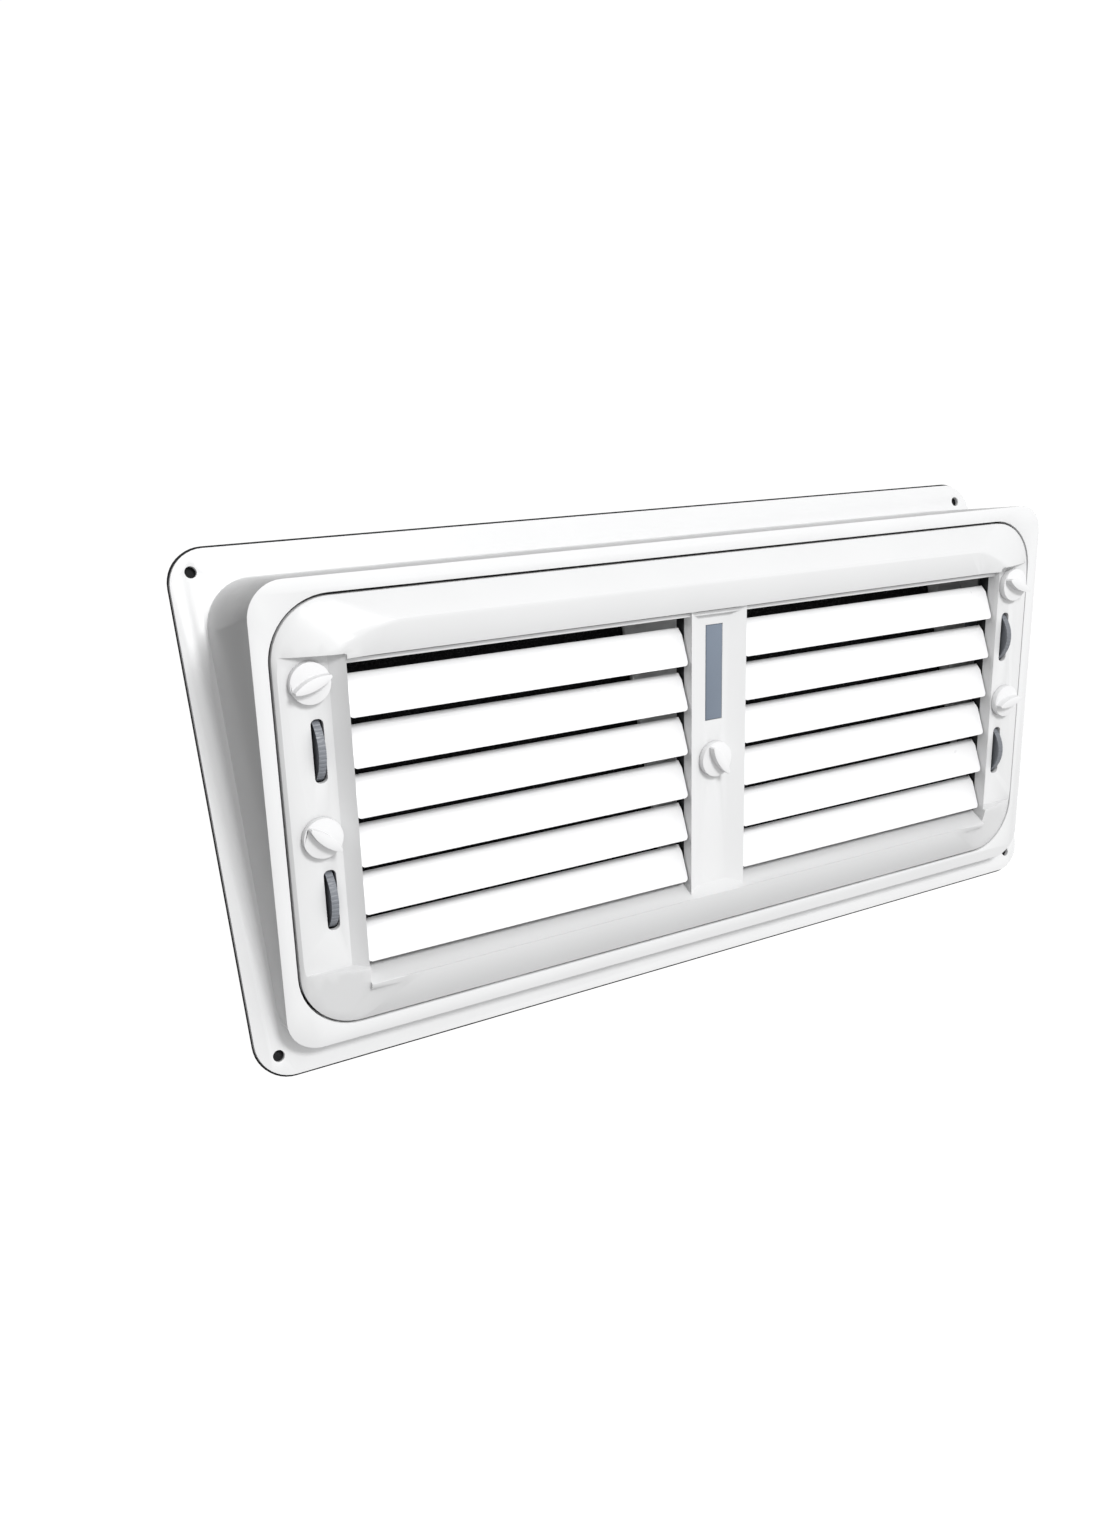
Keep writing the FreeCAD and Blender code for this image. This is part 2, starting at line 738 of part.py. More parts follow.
def blade(name, side, height):
    """One blade with its end lugs, bearing pins, crank arm and crank pin, about its pivot."""
    body = new_body(name + "_body")
    back = side < 0
    length = "(opening_half - mullion_half - 2 * blade_gap)"
    slat = new_sketch(body, name + "_slat", "YZ_Plane")
    polygon(slat, BLADE_SECTION)
    pad(body, slat, length, back)
    inner_lug = new_sketch(body, name + "_lug_in", "YZ_Plane")
    polygon(inner_lug, LUG_SECTION)
    pad(body, inner_lug, "2", back)
    outer_lug = new_sketch(body, name + "_lug_out", "YZ_Plane", f"{side} * ({length} - 2)")
    polygon(outer_lug, LUG_SECTION)
    pad(body, outer_lug, "2", back)
    inner_pin = new_sketch(body, name + "_pin_in", "YZ_Plane", f"{side}")
    circle(inner_pin, "0", "0", "pin_radius")
    pad(body, inner_pin, "1 + blade_gap + 0.5 + cheek_thick", not back)
    outer_pin = new_sketch(body, name + "_pin_out", "YZ_Plane", f"{side} * ({length} - 1)")
    circle(outer_pin, "0", "0", "pin_radius")
    pin_length = "1 + blade_gap + cheek_gap + cheek_thick + link_gap + link_thick"
    pad(body, outer_pin, pin_length, back)
    arm_start = f"{length} + blade_gap + cheek_gap + cheek_thick + link_gap"
    turn = size("crank_lead")
    arm = new_sketch(body, name + "_arm", "YZ_Plane", f"{side} * ({arm_start})", turn)
    polygon(arm, [("-pin_radius - 0.1", "-2.1"), ("crank_arm + 2.1", "-2.1"),
                  ("crank_arm + 2.1", "2.1"), ("-pin_radius - 0.1", "2.1")])
    pad(body, arm, "link_thick", back)
    crank = new_sketch(body, name + "_crank", "YZ_Plane", f"{side} * ({arm_start} + 1)", turn)
    circle(crank, "crank_arm", "0", "crank_pin_radius")
    pad(body, crank, "link_thick - 1 + link_gap + link_thick + 0.3", back)
    start = side * (size("mullion_half") + size("blade_gap"))
    return keep(body, name, on_face(start, size("blade_pivot_depth"), height))


def link_start():
    """Distance from the middle of the grille to the inner face of the coupler bars."""
    return (size("opening_half") + size("cheek_gap") + size("cheek_thick")
            + 2 * size("link_gap") + size("link_thick"))


def thumb_wheel(name, side, height):
    """Thumb wheel with its hub on the outside and its crank pin on the inside."""
    body = new_body(name + "_body")
    back = side < 0
    rim = new_sketch(body, name + "_rim", "YZ_Plane", f"{-side} * wheel_width / 2")
    circle(rim, "0", "0", "wheel_radius")
    disc = pad(body, rim, "wheel_width", back)
    doc.recompute()
    edges = [f"Edge{index}" for index, edge in enumerate(disc.Shape.Edges, start=1)
             if edge.Curve.TypeId == "Part::GeomCircle"]
    eased = body.newObject("PartDesign::Fillet", name + "_eased")
    eased.Base = (disc, edges)
    bind(eased, {"Radius": "wheel_width / 6"})
    hub = new_sketch(body, name + "_hub", "YZ_Plane", f"{side} * (wheel_width / 2 - 1)")
    circle(hub, "0", "0", "wheel_hub")
    pad(body, hub, "1 + bracket_gap + bracket_thick + 0.6", back)
    crank = new_sketch(body, name + "_crank", "YZ_Plane", f"{-side} * (wheel_width / 2 - 1)",
                       size("crank_lead"))
    circle(crank, "crank_arm", "0", "crank_pin_radius")
    reach = "wheel_across - wheel_width / 2 + 1 - opening_half - cheek_gap - cheek_thick"
    pad(body, crank, f"{reach} - 2 * link_gap - link_thick + 0.3", not back)
    place = on_face(side * size("wheel_across"), size("wheel_depth"), height)
    return keep(body, name, place)


def wheel_bracket(name, side, height):
    """Bearing block on the back of the panel that carries a wheel's hub."""
    low = "wheel_across + wheel_width / 2 + bracket_gap"
    corner = low if side > 0 else f"-({low} + bracket_thick)"
    arm = box(name + "_block", (corner, "floor_back", "-7"),
              ("bracket_thick", "wheel_depth + 6 - floor_back", "14"))
    bearing = doc.addObject("Part::Cylinder", name + "_bearing")
    bearing.Placement = Placement(Vector(0, 0, 0), Rotation(Vector(0, 1, 0), 90))
    bind(bearing, {"Radius": "wheel_hub + running_gap", "Height": "bracket_thick + 2",
                   "Placement.Base.x": f"{corner} - 1", "Placement.Base.y": "wheel_depth"})
    return keep(cut(name + "_cut", arm, bearing), name, on_face(height=height))


def coupler(name, side, height):
    """Flat bar that links a wheel's crank pin to the crank pins of its three blades."""
    body = new_body(name + "_body")
    reach = "(wheel_depth - blade_pivot_depth)"
    end = "(blade_pitch + 3.2)"
    face = new_sketch(body, name + "_outline", "YZ_Plane")
    polygon(face, [(f"-{reach} - 3", f"-{end}"), (f"-{reach} + 3", f"-{end}"),
                   (f"-{reach} + 3", "-3.2"), ("3.2", "-3.2"), ("3.2", "3.2"),
                   (f"-{reach} + 3", "3.2"), (f"-{reach} + 3", end), (f"-{reach} - 3", end)])
    pad(body, face, "link_thick", side < 0)
    holes = new_sketch(body, name + "_holes", "YZ_Plane", f"{-side}")
    circle(holes, "0", "0", "crank_pin_radius + running_gap")
    for step in ("-1", "0", "1"):
        circle(holes, f"-{reach}", f"{step} * blade_pitch", "crank_pin_radius + running_gap")
    pocket(body, holes, "link_thick + 2", reverse=side > 0)
    lead = math.radians(size("crank_lead"))
    pin_depth = size("wheel_depth") + size("crank_arm") * math.cos(lead)
    pin_height = height + size("crank_arm") * math.sin(lead)
    return keep(body, name, on_face(side * link_start(), pin_depth, pin_height))


# ---------------------------------------------------------------- latches


def knob(name, across, height, floor, cam_depth, turn):
    """Round knob with a lens-shaped grip across it and a shaft that carries the cam."""
    face = f"({floor}) - knob_gap - knob_thick"
    disc = rod(name + "_disc", "knob_radius", "knob_thick", ("0", face, "0"))
    offset = "(grip_curve - grip_half)"
    sides = []
    for way in ("-1", "1"):
        sides.append(rod(f"{name}_side_{len(sides)}", "grip_curve", "grip_rise + 1",
                         ("0", f"{face} - grip_rise", f"{way} * {offset}")))
    lens = doc.addObject("Part::MultiCommon", name + "_lens")
    bound = rod(name + "_bound", "knob_radius - 0.4", "grip_rise + 1",
                ("0", f"{face} - grip_rise", "0"))
    lens.Shapes = sides + [bound]
    end = f"{cam_depth} + cam_thick + ring_gap + ring_thick + 1"
    shaft = rod(name + "_shaft", "shaft_radius", f"({end}) - ({face}) - 1",
                ("0", f"{face} + 1", "0"))
    return keep(fuse(name + "_whole", [disc, lens, shaft]), name,
                on_face(across, 0, height, turn))


def latch_cam(name, across, height, cam_depth, cam_reach, way):
    """Cam behind the panel: a boss on the knob's shaft with a tongue that points outwards."""
    boss = rod(name + "_boss", "cam_radius", "cam_thick", ("0", cam_depth, "0"))
    corner = "0" if way > 0 else f"-{cam_reach}"
    tongue = box(name + "_tongue", (corner, cam_depth, "-cam_half"),
                 (cam_reach, "cam_thick", "2 * cam_half"))
    bore = rod(name + "_bore", "shaft_radius + running_gap", "cam_thick + 2",
               ("0", f"{cam_depth} - 1", "0"))
    whole = cut(name + "_whole", fuse(name + "_blank", [boss, tongue]), bore)
    return keep(whole, name, on_face(across, 0, height))


def latch_ring(name, across, height, cam_depth):
    """Retaining ring that holds the cam on the shaft."""
    start = f"{cam_depth} + cam_thick + ring_gap"
    blank = rod(name + "_blank", "ring_radius", "ring_thick", ("0", start, "0"))
    bore = rod(name + "_bore", "shaft_radius + running_gap", "ring_thick + 2",
               ("0", f"{start} - 1", "0"))
    return keep(cut(name + "_whole", blank, bore), name, on_face(across, 0, height))


KNOB_TURNS = {"left_upper": 20, "left_lower": -42, "right_upper": -25, "right_lower": 12,
              "centre": -57}


def build():
    """Make every sub-part."""
    wall_gasket()
    wall_frame()
    louvre_panel()
    panel_seal()
    filter_pad()
    indicator_lens()
    for side in (-1, 1):
        bearing_cheek(f"outer_cheek_{bank(side)}", side, "(opening_half + cheek_gap)")
        bearing_cheek(f"inner_cheek_{bank(side)}", side, "(mullion_half - 0.5 - cheek_thick)")
        for number_down in range(6):
            height = size("blade_top_pivot") - number_down * size("blade_pitch")
            blade(f"blade_{bank(side)}_{number_down + 1}", side, height)
        for level, height in wheel_heights().items():
            thumb_wheel(f"wheel_{bank(side)}_{level}", side, height)
            wheel_bracket(f"wheel_bracket_{bank(side)}_{level}", side, height)
            coupler(f"coupler_{bank(side)}_{level}", side, height)
    for name, across, height, floor, cam_depth, cam_reach, way in latch_places():
        floor_text = "-mullion_floor_rise" if name == "centre" else "-strip_rise"
        knob(f"knob_{name}", across, height, floor_text, cam_depth, KNOB_TURNS[name])
        latch_cam(f"latch_cam_{name}", across, height, cam_depth, cam_reach, way)
        latch_ring(f"latch_ring_{name}", across, height, cam_depth)


def check():
    """Stop if any object failed or any sub-part isn't a sound solid."""
    doc.recompute()
    for item in doc.Objects:
        bad = {"Invalid", "Error"} & set(item.State)
        if bad:
            raise RuntimeError(f"{item.Name} {item.Label}: {item.State}")
    for piece in nodes:
        if piece.Shape.isNull() or not piece.Shape.isValid() or not piece.Shape.Solids:
            raise RuntimeError(f"{piece.Label} is not a valid solid")


def export():
    """Write one file for each sub-part."""
    os.makedirs("parts", exist_ok=True)
    for piece in nodes:
        piece.Shape.exportStep(f"parts/{piece.Label}.step")
        volume = piece.Shape.Volume / 1000
        print(f"{piece.Label}: {len(piece.Shape.Solids)} solid, {volume:.2f} cm3")


build()
check()
export()
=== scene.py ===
"""Looks of the louvred air grille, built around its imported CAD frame."""

import json
import logging
import math
from dataclasses import dataclass, field
from enum import Enum

import bpy
from mathutils import Matrix, Vector

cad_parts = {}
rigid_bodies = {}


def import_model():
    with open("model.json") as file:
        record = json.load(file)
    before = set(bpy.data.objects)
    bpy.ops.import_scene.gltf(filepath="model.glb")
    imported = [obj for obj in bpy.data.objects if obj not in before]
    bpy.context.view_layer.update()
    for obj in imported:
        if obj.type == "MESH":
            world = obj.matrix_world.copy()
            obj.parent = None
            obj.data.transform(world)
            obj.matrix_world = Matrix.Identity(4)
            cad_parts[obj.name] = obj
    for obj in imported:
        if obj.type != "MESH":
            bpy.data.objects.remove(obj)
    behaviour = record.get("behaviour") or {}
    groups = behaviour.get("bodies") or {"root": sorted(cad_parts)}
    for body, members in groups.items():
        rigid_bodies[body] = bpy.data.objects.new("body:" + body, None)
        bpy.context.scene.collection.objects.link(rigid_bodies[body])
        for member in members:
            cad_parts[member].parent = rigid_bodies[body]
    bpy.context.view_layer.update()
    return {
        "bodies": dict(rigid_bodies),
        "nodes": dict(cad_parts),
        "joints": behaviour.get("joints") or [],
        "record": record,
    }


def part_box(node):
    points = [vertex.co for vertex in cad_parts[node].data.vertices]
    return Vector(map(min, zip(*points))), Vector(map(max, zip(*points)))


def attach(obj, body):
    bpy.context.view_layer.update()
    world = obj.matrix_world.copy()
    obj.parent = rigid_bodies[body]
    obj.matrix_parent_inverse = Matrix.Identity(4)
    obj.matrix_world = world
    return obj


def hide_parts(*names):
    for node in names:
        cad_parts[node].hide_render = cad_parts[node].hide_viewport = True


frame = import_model()

logging.basicConfig(level=logging.INFO, format="%(message)s")
log = logging.getLogger("grille")

MILLIMETRE = 0.001

CLOUD_SCALE = 14.0
CLOUD_DETAIL = 4.0
SHADE_STOPS = (0.3, 0.7)
SMEAR_SCALE = 60.0
SMEAR_DETAIL = 3.0
GRAIN_DETAIL = 2.0
DRAWN_STRETCH = (0.05, 1.0, 1.0)


def mm(value: float) -> float:
    """Millimetres as metres."""
    return value * MILLIMETRE


# ---------------------------------------------------------------- finishes


class Grain(Enum):
    """Kinds of surface relief."""

    MOULDED = "moulded"
    CELLULAR = "cellular"
    DRAWN = "drawn"


@dataclass(frozen=True)
class Finish:
    """One material, built from nodes on Object coordinates.

    Args:
        name: Name of the material.
        colour: Base colour, linear.
        variation: How far the colour strays, as a share of its value.
        roughness: Middle roughness.
        roughness_spread: How far the roughness strays each way.
        grain: Kind of surface relief.
        grain_size: Size of one grain in metres.
        grain_depth: Depth of the relief in metres.
        metallic: 0 for plastics and foam, 1 for metal.
        coat: Weight of the clear coat.
    """

    name: str
    colour: tuple[float, float, float]
    variation: float = 0.03
    roughness: float = 0.4
    roughness_spread: float = 0.06
    grain: Grain = Grain.MOULDED
    grain_size: float = 0.0004
    grain_depth: float = 0.00002
    metallic: float = 0.0
    coat: float = 0.0

    def tinted(self, factor: float) -> tuple[float, float, float, float]:
        """The base colour times a factor, with alpha.

        Args:
            factor: What each channel is multiplied by.

        Returns:
            Red, green, blue and alpha.
        """
        red, green, blue = (min(1.0, channel * factor) for channel in self.colour)
        return (red, green, blue, 1.0)

    def build(self) -> bpy.types.Material:
        """Make the material.

        Returns:
            The new material.
        """
        material = bpy.data.materials.new(self.name)
        material.use_nodes = True
        nodes = material.node_tree.nodes
        links = material.node_tree.links
        shader = nodes["Principled BSDF"]
        shader.inputs["Metallic"].default_value = self.metallic
        shader.inputs["Coat Weight"].default_value = self.coat
        place = nodes.new("ShaderNodeTexCoord")

        cloud = nodes.new("ShaderNodeTexNoise")
        cloud.inputs["Scale"].default_value = CLOUD_SCALE
        cloud.inputs["Detail"].default_value = CLOUD_DETAIL
        links.new(place.outputs["Object"], cloud.inputs["Vector"])
        shade = nodes.new("ShaderNodeValToRGB")
        factors = (1.0 - self.variation, 1.0 + self.variation)
        for stop, position, factor in zip(shade.color_ramp.elements, SHADE_STOPS, factors):
            stop.position = position
            stop.color = self.tinted(factor)
        links.new(cloud.outputs["Fac"], shade.inputs["Fac"])
        links.new(shade.outputs["Color"], shader.inputs["Base Color"])

        smear = nodes.new("ShaderNodeTexNoise")
        smear.inputs["Scale"].default_value = SMEAR_SCALE
        smear.inputs["Detail"].default_value = SMEAR_DETAIL
        links.new(place.outputs["Object"], smear.inputs["Vector"])
        polish = nodes.new("ShaderNodeMapRange")
        polish.inputs["To Min"].default_value = self.roughness - self.roughness_spread
        polish.inputs["To Max"].default_value = self.roughness + self.roughness_spread
        links.new(smear.outputs["Fac"], polish.inputs["Value"])
        links.new(polish.outputs["Result"], shader.inputs["Roughness"])

        relief = nodes.new("ShaderNodeBump")
        relief.inputs["Distance"].default_value = self.grain_depth
        links.new(self.height(nodes, links, place), relief.inputs["Height"])
        links.new(relief.outputs["Normal"], shader.inputs["Normal"])
        return material

    def height(self, nodes: bpy.types.Nodes, links: bpy.types.NodeLinks,
               place: bpy.types.Node) -> bpy.types.NodeSocket:
        """The relief pattern of the grain.

        Args:
            nodes: Nodes of the material.
            links: Links of the material.
            place: Texture coordinate node.

        Returns:
            The socket that carries the height.
        """
        if self.grain is Grain.CELLULAR:
            cells = nodes.new("ShaderNodeTexVoronoi")
            cells.inputs["Scale"].default_value = 1.0 / self.grain_size
            links.new(place.outputs["Object"], cells.inputs["Vector"])
            return cells.outputs["Distance"]
        pattern = nodes.new("ShaderNodeTexNoise")
        pattern.inputs["Scale"].default_value = 1.0 / self.grain_size
        pattern.inputs["Detail"].default_value = GRAIN_DETAIL
        if self.grain is Grain.DRAWN:
            stretch = nodes.new("ShaderNodeMapping")
            stretch.inputs["Scale"].default_value = DRAWN_STRETCH
            links.new(place.outputs["Object"], stretch.inputs["Vector"])
            links.new(stretch.outputs["Vector"], pattern.inputs["Vector"])
        else:
            links.new(place.outputs["Object"], pattern.inputs["Vector"])
        return pattern.outputs["Fac"]


# The housing, panel, knobs and blades are one white plastic; the housing, panel and knob whites
# are set darker than the blade white as painted shade, the panel's darkest for its recessed
# strips.
FINISHES = {
    "white_housing": Finish("white_housing", (0.675, 0.677, 0.68), 0.012, 0.36),
    "white_panel": Finish("white_panel", (0.645, 0.647, 0.65), 0.012, 0.32),
    "white_blade": Finish("white_blade", (0.8, 0.8, 0.805), 0.012, 0.3),
    "white_knob": Finish("white_knob", (0.69, 0.69, 0.695), 0.012, 0.3),
    "grey_wheel": Finish("grey_wheel", (0.17, 0.18, 0.2), 0.2, 0.4, grain_size=0.0006),
    "grey_bearing": Finish("grey_bearing", (0.02, 0.02, 0.022), 0.15, 0.5),
    "tinted_lens": Finish("tinted_lens", (0.14, 0.172, 0.22), 0.08, 0.2, 0.04, coat=0.4),
    "black_foam": Finish("black_foam", (0.006, 0.006, 0.007), 0.3, 0.85, 0.08,
                         Grain.CELLULAR, 0.0012, 0.0003),
    "filter_foam": Finish("filter_foam", (0.004, 0.004, 0.005), 0.3, 0.95, 0.04,
                          Grain.CELLULAR, 0.002, 0.0008),
    "steel_link": Finish("steel_link", (0.5, 0.5, 0.52), 0.08, 0.38, 0.1, Grain.DRAWN,
                         0.0005, 0.00002, 1.0),
}


@dataclass
class Paintshop:
    """Builds each finish once and puts it on pieces."""

    built: dict[str, bpy.types.Material] = field(default_factory=dict)

    def material(self, slot: str) -> bpy.types.Material:
        """The material of a slot, made the first time it is wanted.

        Args:
            slot: Name of the record's material slot.

        Returns:
            The material.
        """
        if slot not in self.built:
            self.built[slot] = FINISHES[slot].build()
        return self.built[slot]

    def dress(self, piece: bpy.types.Object, slot: str) -> None:
        """Give every material slot of a piece one finish.

        Args:
            piece: The piece to dress.
            slot: Name of the record's material slot.
        """
        if not piece.material_slots:
            piece.data.materials.append(self.material(slot))
        for place in piece.material_slots:
            place.material = self.material(slot)


# ---------------------------------------------------------------- the frame's own facts


SLOT_OF = {entry["node"]: entry["material_slot"] for entry in frame["record"]["subparts"]}
BODY_OF = {
    node: body
    for body, members in frame["record"]["behaviour"]["bodies"].items()
    for node in members
}
JOINT_OF = {joint["child"]: joint for joint in frame["joints"]}


def leaning_axes() -> Matrix:
    """The rotation from upright axes to the leaning face of the housing.

    Returns:
        A 4x4 rotation whose Y axis runs into the face.
    """
    into = Vector(JOINT_OF["latch_centre"]["axis"]).normalized()
    across = Vector((1.0, 0.0, 0.0))
    up = across.cross(into)
    return Matrix((across, into, up)).transposed().to_4x4()


FACE_AXES = leaning_axes()


def at_joint(body: str, across: float | None = None) -> Matrix:
    """The face frame centred on a body's joint.

    Args:
        body: Name of the body.
        across: X to use in place of the joint's own, in metres.

    Returns:
        A 4x4 placement.
    """
    spot = Vector(JOINT_OF[body]["pos_m"])
    if across is not None:
        spot.x = across
    return Matrix.Translation(spot) @ FACE_AXES


# ---------------------------------------------------------------- bench work


@dataclass
class Bench:
    """Common modelling steps and the last step of every piece."""

    paint: Paintshop
    merge: float = mm(0.003)
    flat: float = math.radians(0.4)

    def clear(self) -> None:
        """Deselect everything."""
        bpy.ops.object.select_all(action="DESELECT")

    def pick(self, piece: bpy.types.Object) -> None:
        """Select one object only and make it active.

        Args:
            piece: The object to select.
        """
        self.clear()
        piece.select_set(True)
        bpy.context.view_layer.objects.active = piece

    def ease_edges(self, piece: bpy.types.Object, width: float, segments: int = 2,
                   angle: float = 32.0) -> None:
        """Round every sharp edge and shade the rest smooth.

        Args:
            piece: The mesh object.
            width: Width of the rounding in metres.
            segments: Number of segments across the rounding.
            angle: Least angle in degrees of an edge that is rounded.
        """
        self.pick(piece)
        bevel = piece.modifiers.new("ease", "BEVEL")
        bevel.limit_method = "ANGLE"
        bevel.angle_limit = math.radians(angle)
        bevel.width = width
        bevel.segments = segments
        bevel.use_clamp_overlap = True
        bpy.ops.object.modifier_apply(modifier=bevel.name)
        bpy.ops.object.shade_smooth_by_angle(angle=math.radians(angle))

    def copy_of(self, node: str) -> bpy.types.Object:
        """A free copy of a CAD node with its loose triangles merged into clean faces.

        Args:
            node: Name of the CAD node.

        Returns:
            The copy, at the origin.
        """
        source = frame["nodes"][node]
        piece = bpy.data.objects.new(node + "_finished", source.data.copy())
        bpy.context.scene.collection.objects.link(piece)
        self.pick(piece)
        bpy.ops.object.mode_set(mode="EDIT")
        bpy.ops.mesh.select_all(action="SELECT")
        bpy.ops.mesh.remove_doubles(threshold=self.merge)
        bpy.ops.mesh.dissolve_limited(angle_limit=self.flat)
        bpy.ops.object.mode_set(mode="OBJECT")
        return piece

    def place(self, piece: bpy.types.Object, where: Matrix) -> None:
        """Move a piece to its place and put the place into its mesh.

        Args:
            piece: The mesh object, modelled about the origin.
            where: Its placement.
        """
        piece.matrix_world = where @ piece.matrix_world
        self.pick(piece)
        bpy.ops.object.transform_apply(location=True, rotation=True, scale=True)

    def finish(self, piece: bpy.types.Object, body: str, slot: str, *nodes: str) -> None:
        """Dress a piece, let it ride on its body and stand for its CAD nodes.

        Args:
            piece: The finished piece.
            body: Name of the body it rides on.
            slot: Name of the record's material slot.
            nodes: CAD nodes that the piece stands for.
        """
        self.paint.dress(piece, slot)
        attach(piece, body)
        if nodes:
            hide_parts(*nodes)
        log.info("%s: %d faces on %s", piece.name, len(piece.data.polygons), body)


# ---------------------------------------------------------------- sub-assemblies


@dataclass
class EasedParts:
    """Moulded parts that keep their CAD shape and get rounded edges."""

    bench: Bench
    shell_edge: float = mm(0.9)
    blade_edge: float = mm(0.45)
    knob_edge: float = mm(0.3)
    lens_edge: float = mm(0.8)
    foam_edge: float = mm(0.25)
    blade_corner: float = mm(2.6)
    corner_steps: int = 5
    corner_slack: float = mm(0.1)

    def edge_of(self, node: str) -> float | None:
        """The rounding of a node's edges.

        Args:
            node: Name of the CAD node.

        Returns:
            The rounding in metres, or None where the CAD edges stay.
        """
        for start, width in (("wall_frame", self.shell_edge), ("louvre_panel", self.shell_edge),
                             ("blade_", self.blade_edge), ("knob_", self.knob_edge),
                             ("indicator_lens", self.lens_edge),
                             ("panel_seal", self.foam_edge)):
            if node.startswith(start):
                return width
        return None

    def round_low_corners(self, piece: bpy.types.Object, body: str) -> None:
        """Round the two lower corners of a blade.

        Args:
            piece: The blade.
            body: Name of the blade's body.
        """
        to_blade = at_joint(body).inverted()
        spots = [to_blade @ vertex.co for vertex in piece.data.vertices]
        low = min(spot.z for spot in spots) + self.corner_slack
        self.bench.pick(piece)
        bpy.ops.object.mode_set(mode="EDIT")
        bpy.ops.mesh.select_mode(type="EDGE")
        bpy.ops.mesh.select_all(action="DESELECT")
        bpy.ops.object.mode_set(mode="OBJECT")
        for edge in piece.data.edges:
            first, second = (spots[index] for index in edge.vertices)
            across = abs(first.x - second.x)
            edge.select = max(first.z, second.z) < low and across < self.corner_slack
        log.info("%s: %d corners", piece.name, sum(edge.select for edge in piece.data.edges))
        bpy.ops.object.mode_set(mode="EDIT")
        bpy.ops.mesh.bevel(offset=self.blade_corner, segments=self.corner_steps, affect="EDGES")
        bpy.ops.object.mode_set(mode="OBJECT")

    def build(self) -> None:
        """Make an eased copy of each moulded part."""
        for node in sorted(frame["nodes"]):
            width = self.edge_of(node)
            if width is None:
                continue
            piece = self.bench.copy_of(node)
            if node.startswith("blade_"):
                self.round_low_corners(piece, BODY_OF[node])
            self.bench.ease_edges(piece, width)
            self.bench.finish(piece, BODY_OF[node], SLOT_OF[node], node)


@dataclass
class ThumbWheel:
    """Ribbed thumb wheel with a raised hub and its two pins."""

    bench: Bench
    body: str
    teeth: int = 48
    groove: float = mm(0.2)
    width: float = mm(4.3)
    land: float = mm(0.3)
    rim_wall: float = mm(2.2)
    dish: float = mm(0.8)
    hub_radius: float = mm(5.5)
    hub_slope: float = mm(3.0)
    axle_radius: float = mm(3.0)
    crank_radius: float = mm(1.4)
    pin_ease: float = 0.2
    edge: float = mm(0.35)

    def rim(self, radius: float) -> bpy.types.Object:
        """The ribbed disc about the origin, its axis along X.

        Args:
            radius: Outer radius.

        Returns:
            The disc.
        """
        self.bench.clear()
        bpy.ops.mesh.primitive_cylinder_add(vertices=2 * self.teeth, radius=radius,
                                            depth=self.width,
                                            rotation=(0, math.pi / 2, 0))
        disc = bpy.context.active_object
        bpy.ops.object.transform_apply(location=True, rotation=True, scale=True)
        bpy.ops.object.mode_set(mode="EDIT")
        bpy.ops.mesh.select_all(action="DESELECT")
        bpy.ops.object.mode_set(mode="OBJECT")
        for face in disc.data.polygons:
            turn = math.atan2(face.center.z, face.center.y)
            step = int(round(turn / (math.pi / self.teeth) - 0.5))
            face.select = abs(face.normal.x) < 0.5 and step % 2 == 0
        bpy.ops.object.mode_set(mode="EDIT")
        bpy.ops.mesh.select_mode(type="FACE")
        bpy.ops.mesh.inset(thickness=self.land, use_individual=True)
        bpy.ops.transform.shrink_fatten(value=-self.groove)
        bpy.ops.mesh.select_all(action="DESELECT")
        bpy.ops.object.mode_set(mode="OBJECT")
        for face in disc.data.polygons:
            face.select = abs(face.normal.x) > 0.9 and len(face.vertices) > 8
        bpy.ops.object.mode_set(mode="EDIT")
        bpy.ops.mesh.inset(thickness=self.rim_wall, use_individual=True)
        bpy.ops.transform.shrink_fatten(value=-self.dish)
        bpy.ops.mesh.inset(thickness=radius - self.hub_slope - self.hub_radius,
                           use_individual=True)
        bpy.ops.transform.shrink_fatten(value=self.dish)
        bpy.ops.object.mode_set(mode="OBJECT")
        return disc

    def pin(self, radius: float, start: Vector, end_x: float) -> bpy.types.Object:
        """A pin along X with a rounded end.

        Args:
            radius: Radius of the pin.
            start: Where it starts.
            end_x: X of its far end.

        Returns:
            The pin.
        """
        self.bench.clear()
        middle = Vector(((start.x + end_x) / 2, start.y, start.z))
        bpy.ops.mesh.primitive_cylinder_add(vertices=24, radius=radius,
                                            depth=abs(end_x - start.x), location=middle,
                                            rotation=(0, math.pi / 2, 0))
        made = bpy.context.active_object
        bpy.ops.object.transform_apply(location=True, rotation=True, scale=True)
        self.bench.ease_edges(made, radius * self.pin_ease, 1)
        return made

    def build(self) -> None:
        """Make the wheel at its axle."""
        axle = Vector(JOINT_OF[self.body]["pos_m"])
        crank = Vector(JOINT_OF[self.body.replace("wheel", "coupler")]["pos_m"])
        low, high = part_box(self.body)
        outward = 1.0 if axle.x > 0 else -1.0
        crank_local = FACE_AXES.inverted() @ (crank - axle)
        radius = (high.z - low.z) / 2
        disc = self.rim(radius)
        self.bench.ease_edges(disc, self.edge)
        outer_end = (high.x if outward > 0 else low.x) - axle.x
        inner_end = (low.x if outward > 0 else high.x) - axle.x
        start = outward * self.width / 4
        hub = self.pin(self.axle_radius, Vector((start, 0, 0)), outer_end)
        crank_start = Vector((-start, crank_local.y, crank_local.z))
        crank_pin = self.pin(self.crank_radius, crank_start, inner_end)
        self.bench.pick(disc)
        hub.select_set(True)
        crank_pin.select_set(True)
        bpy.ops.object.join()
        disc.name = self.body + "_ribbed"
        self.bench.place(disc, at_joint(self.body))
        self.bench.finish(disc, self.body, SLOT_OF[self.body], self.body)


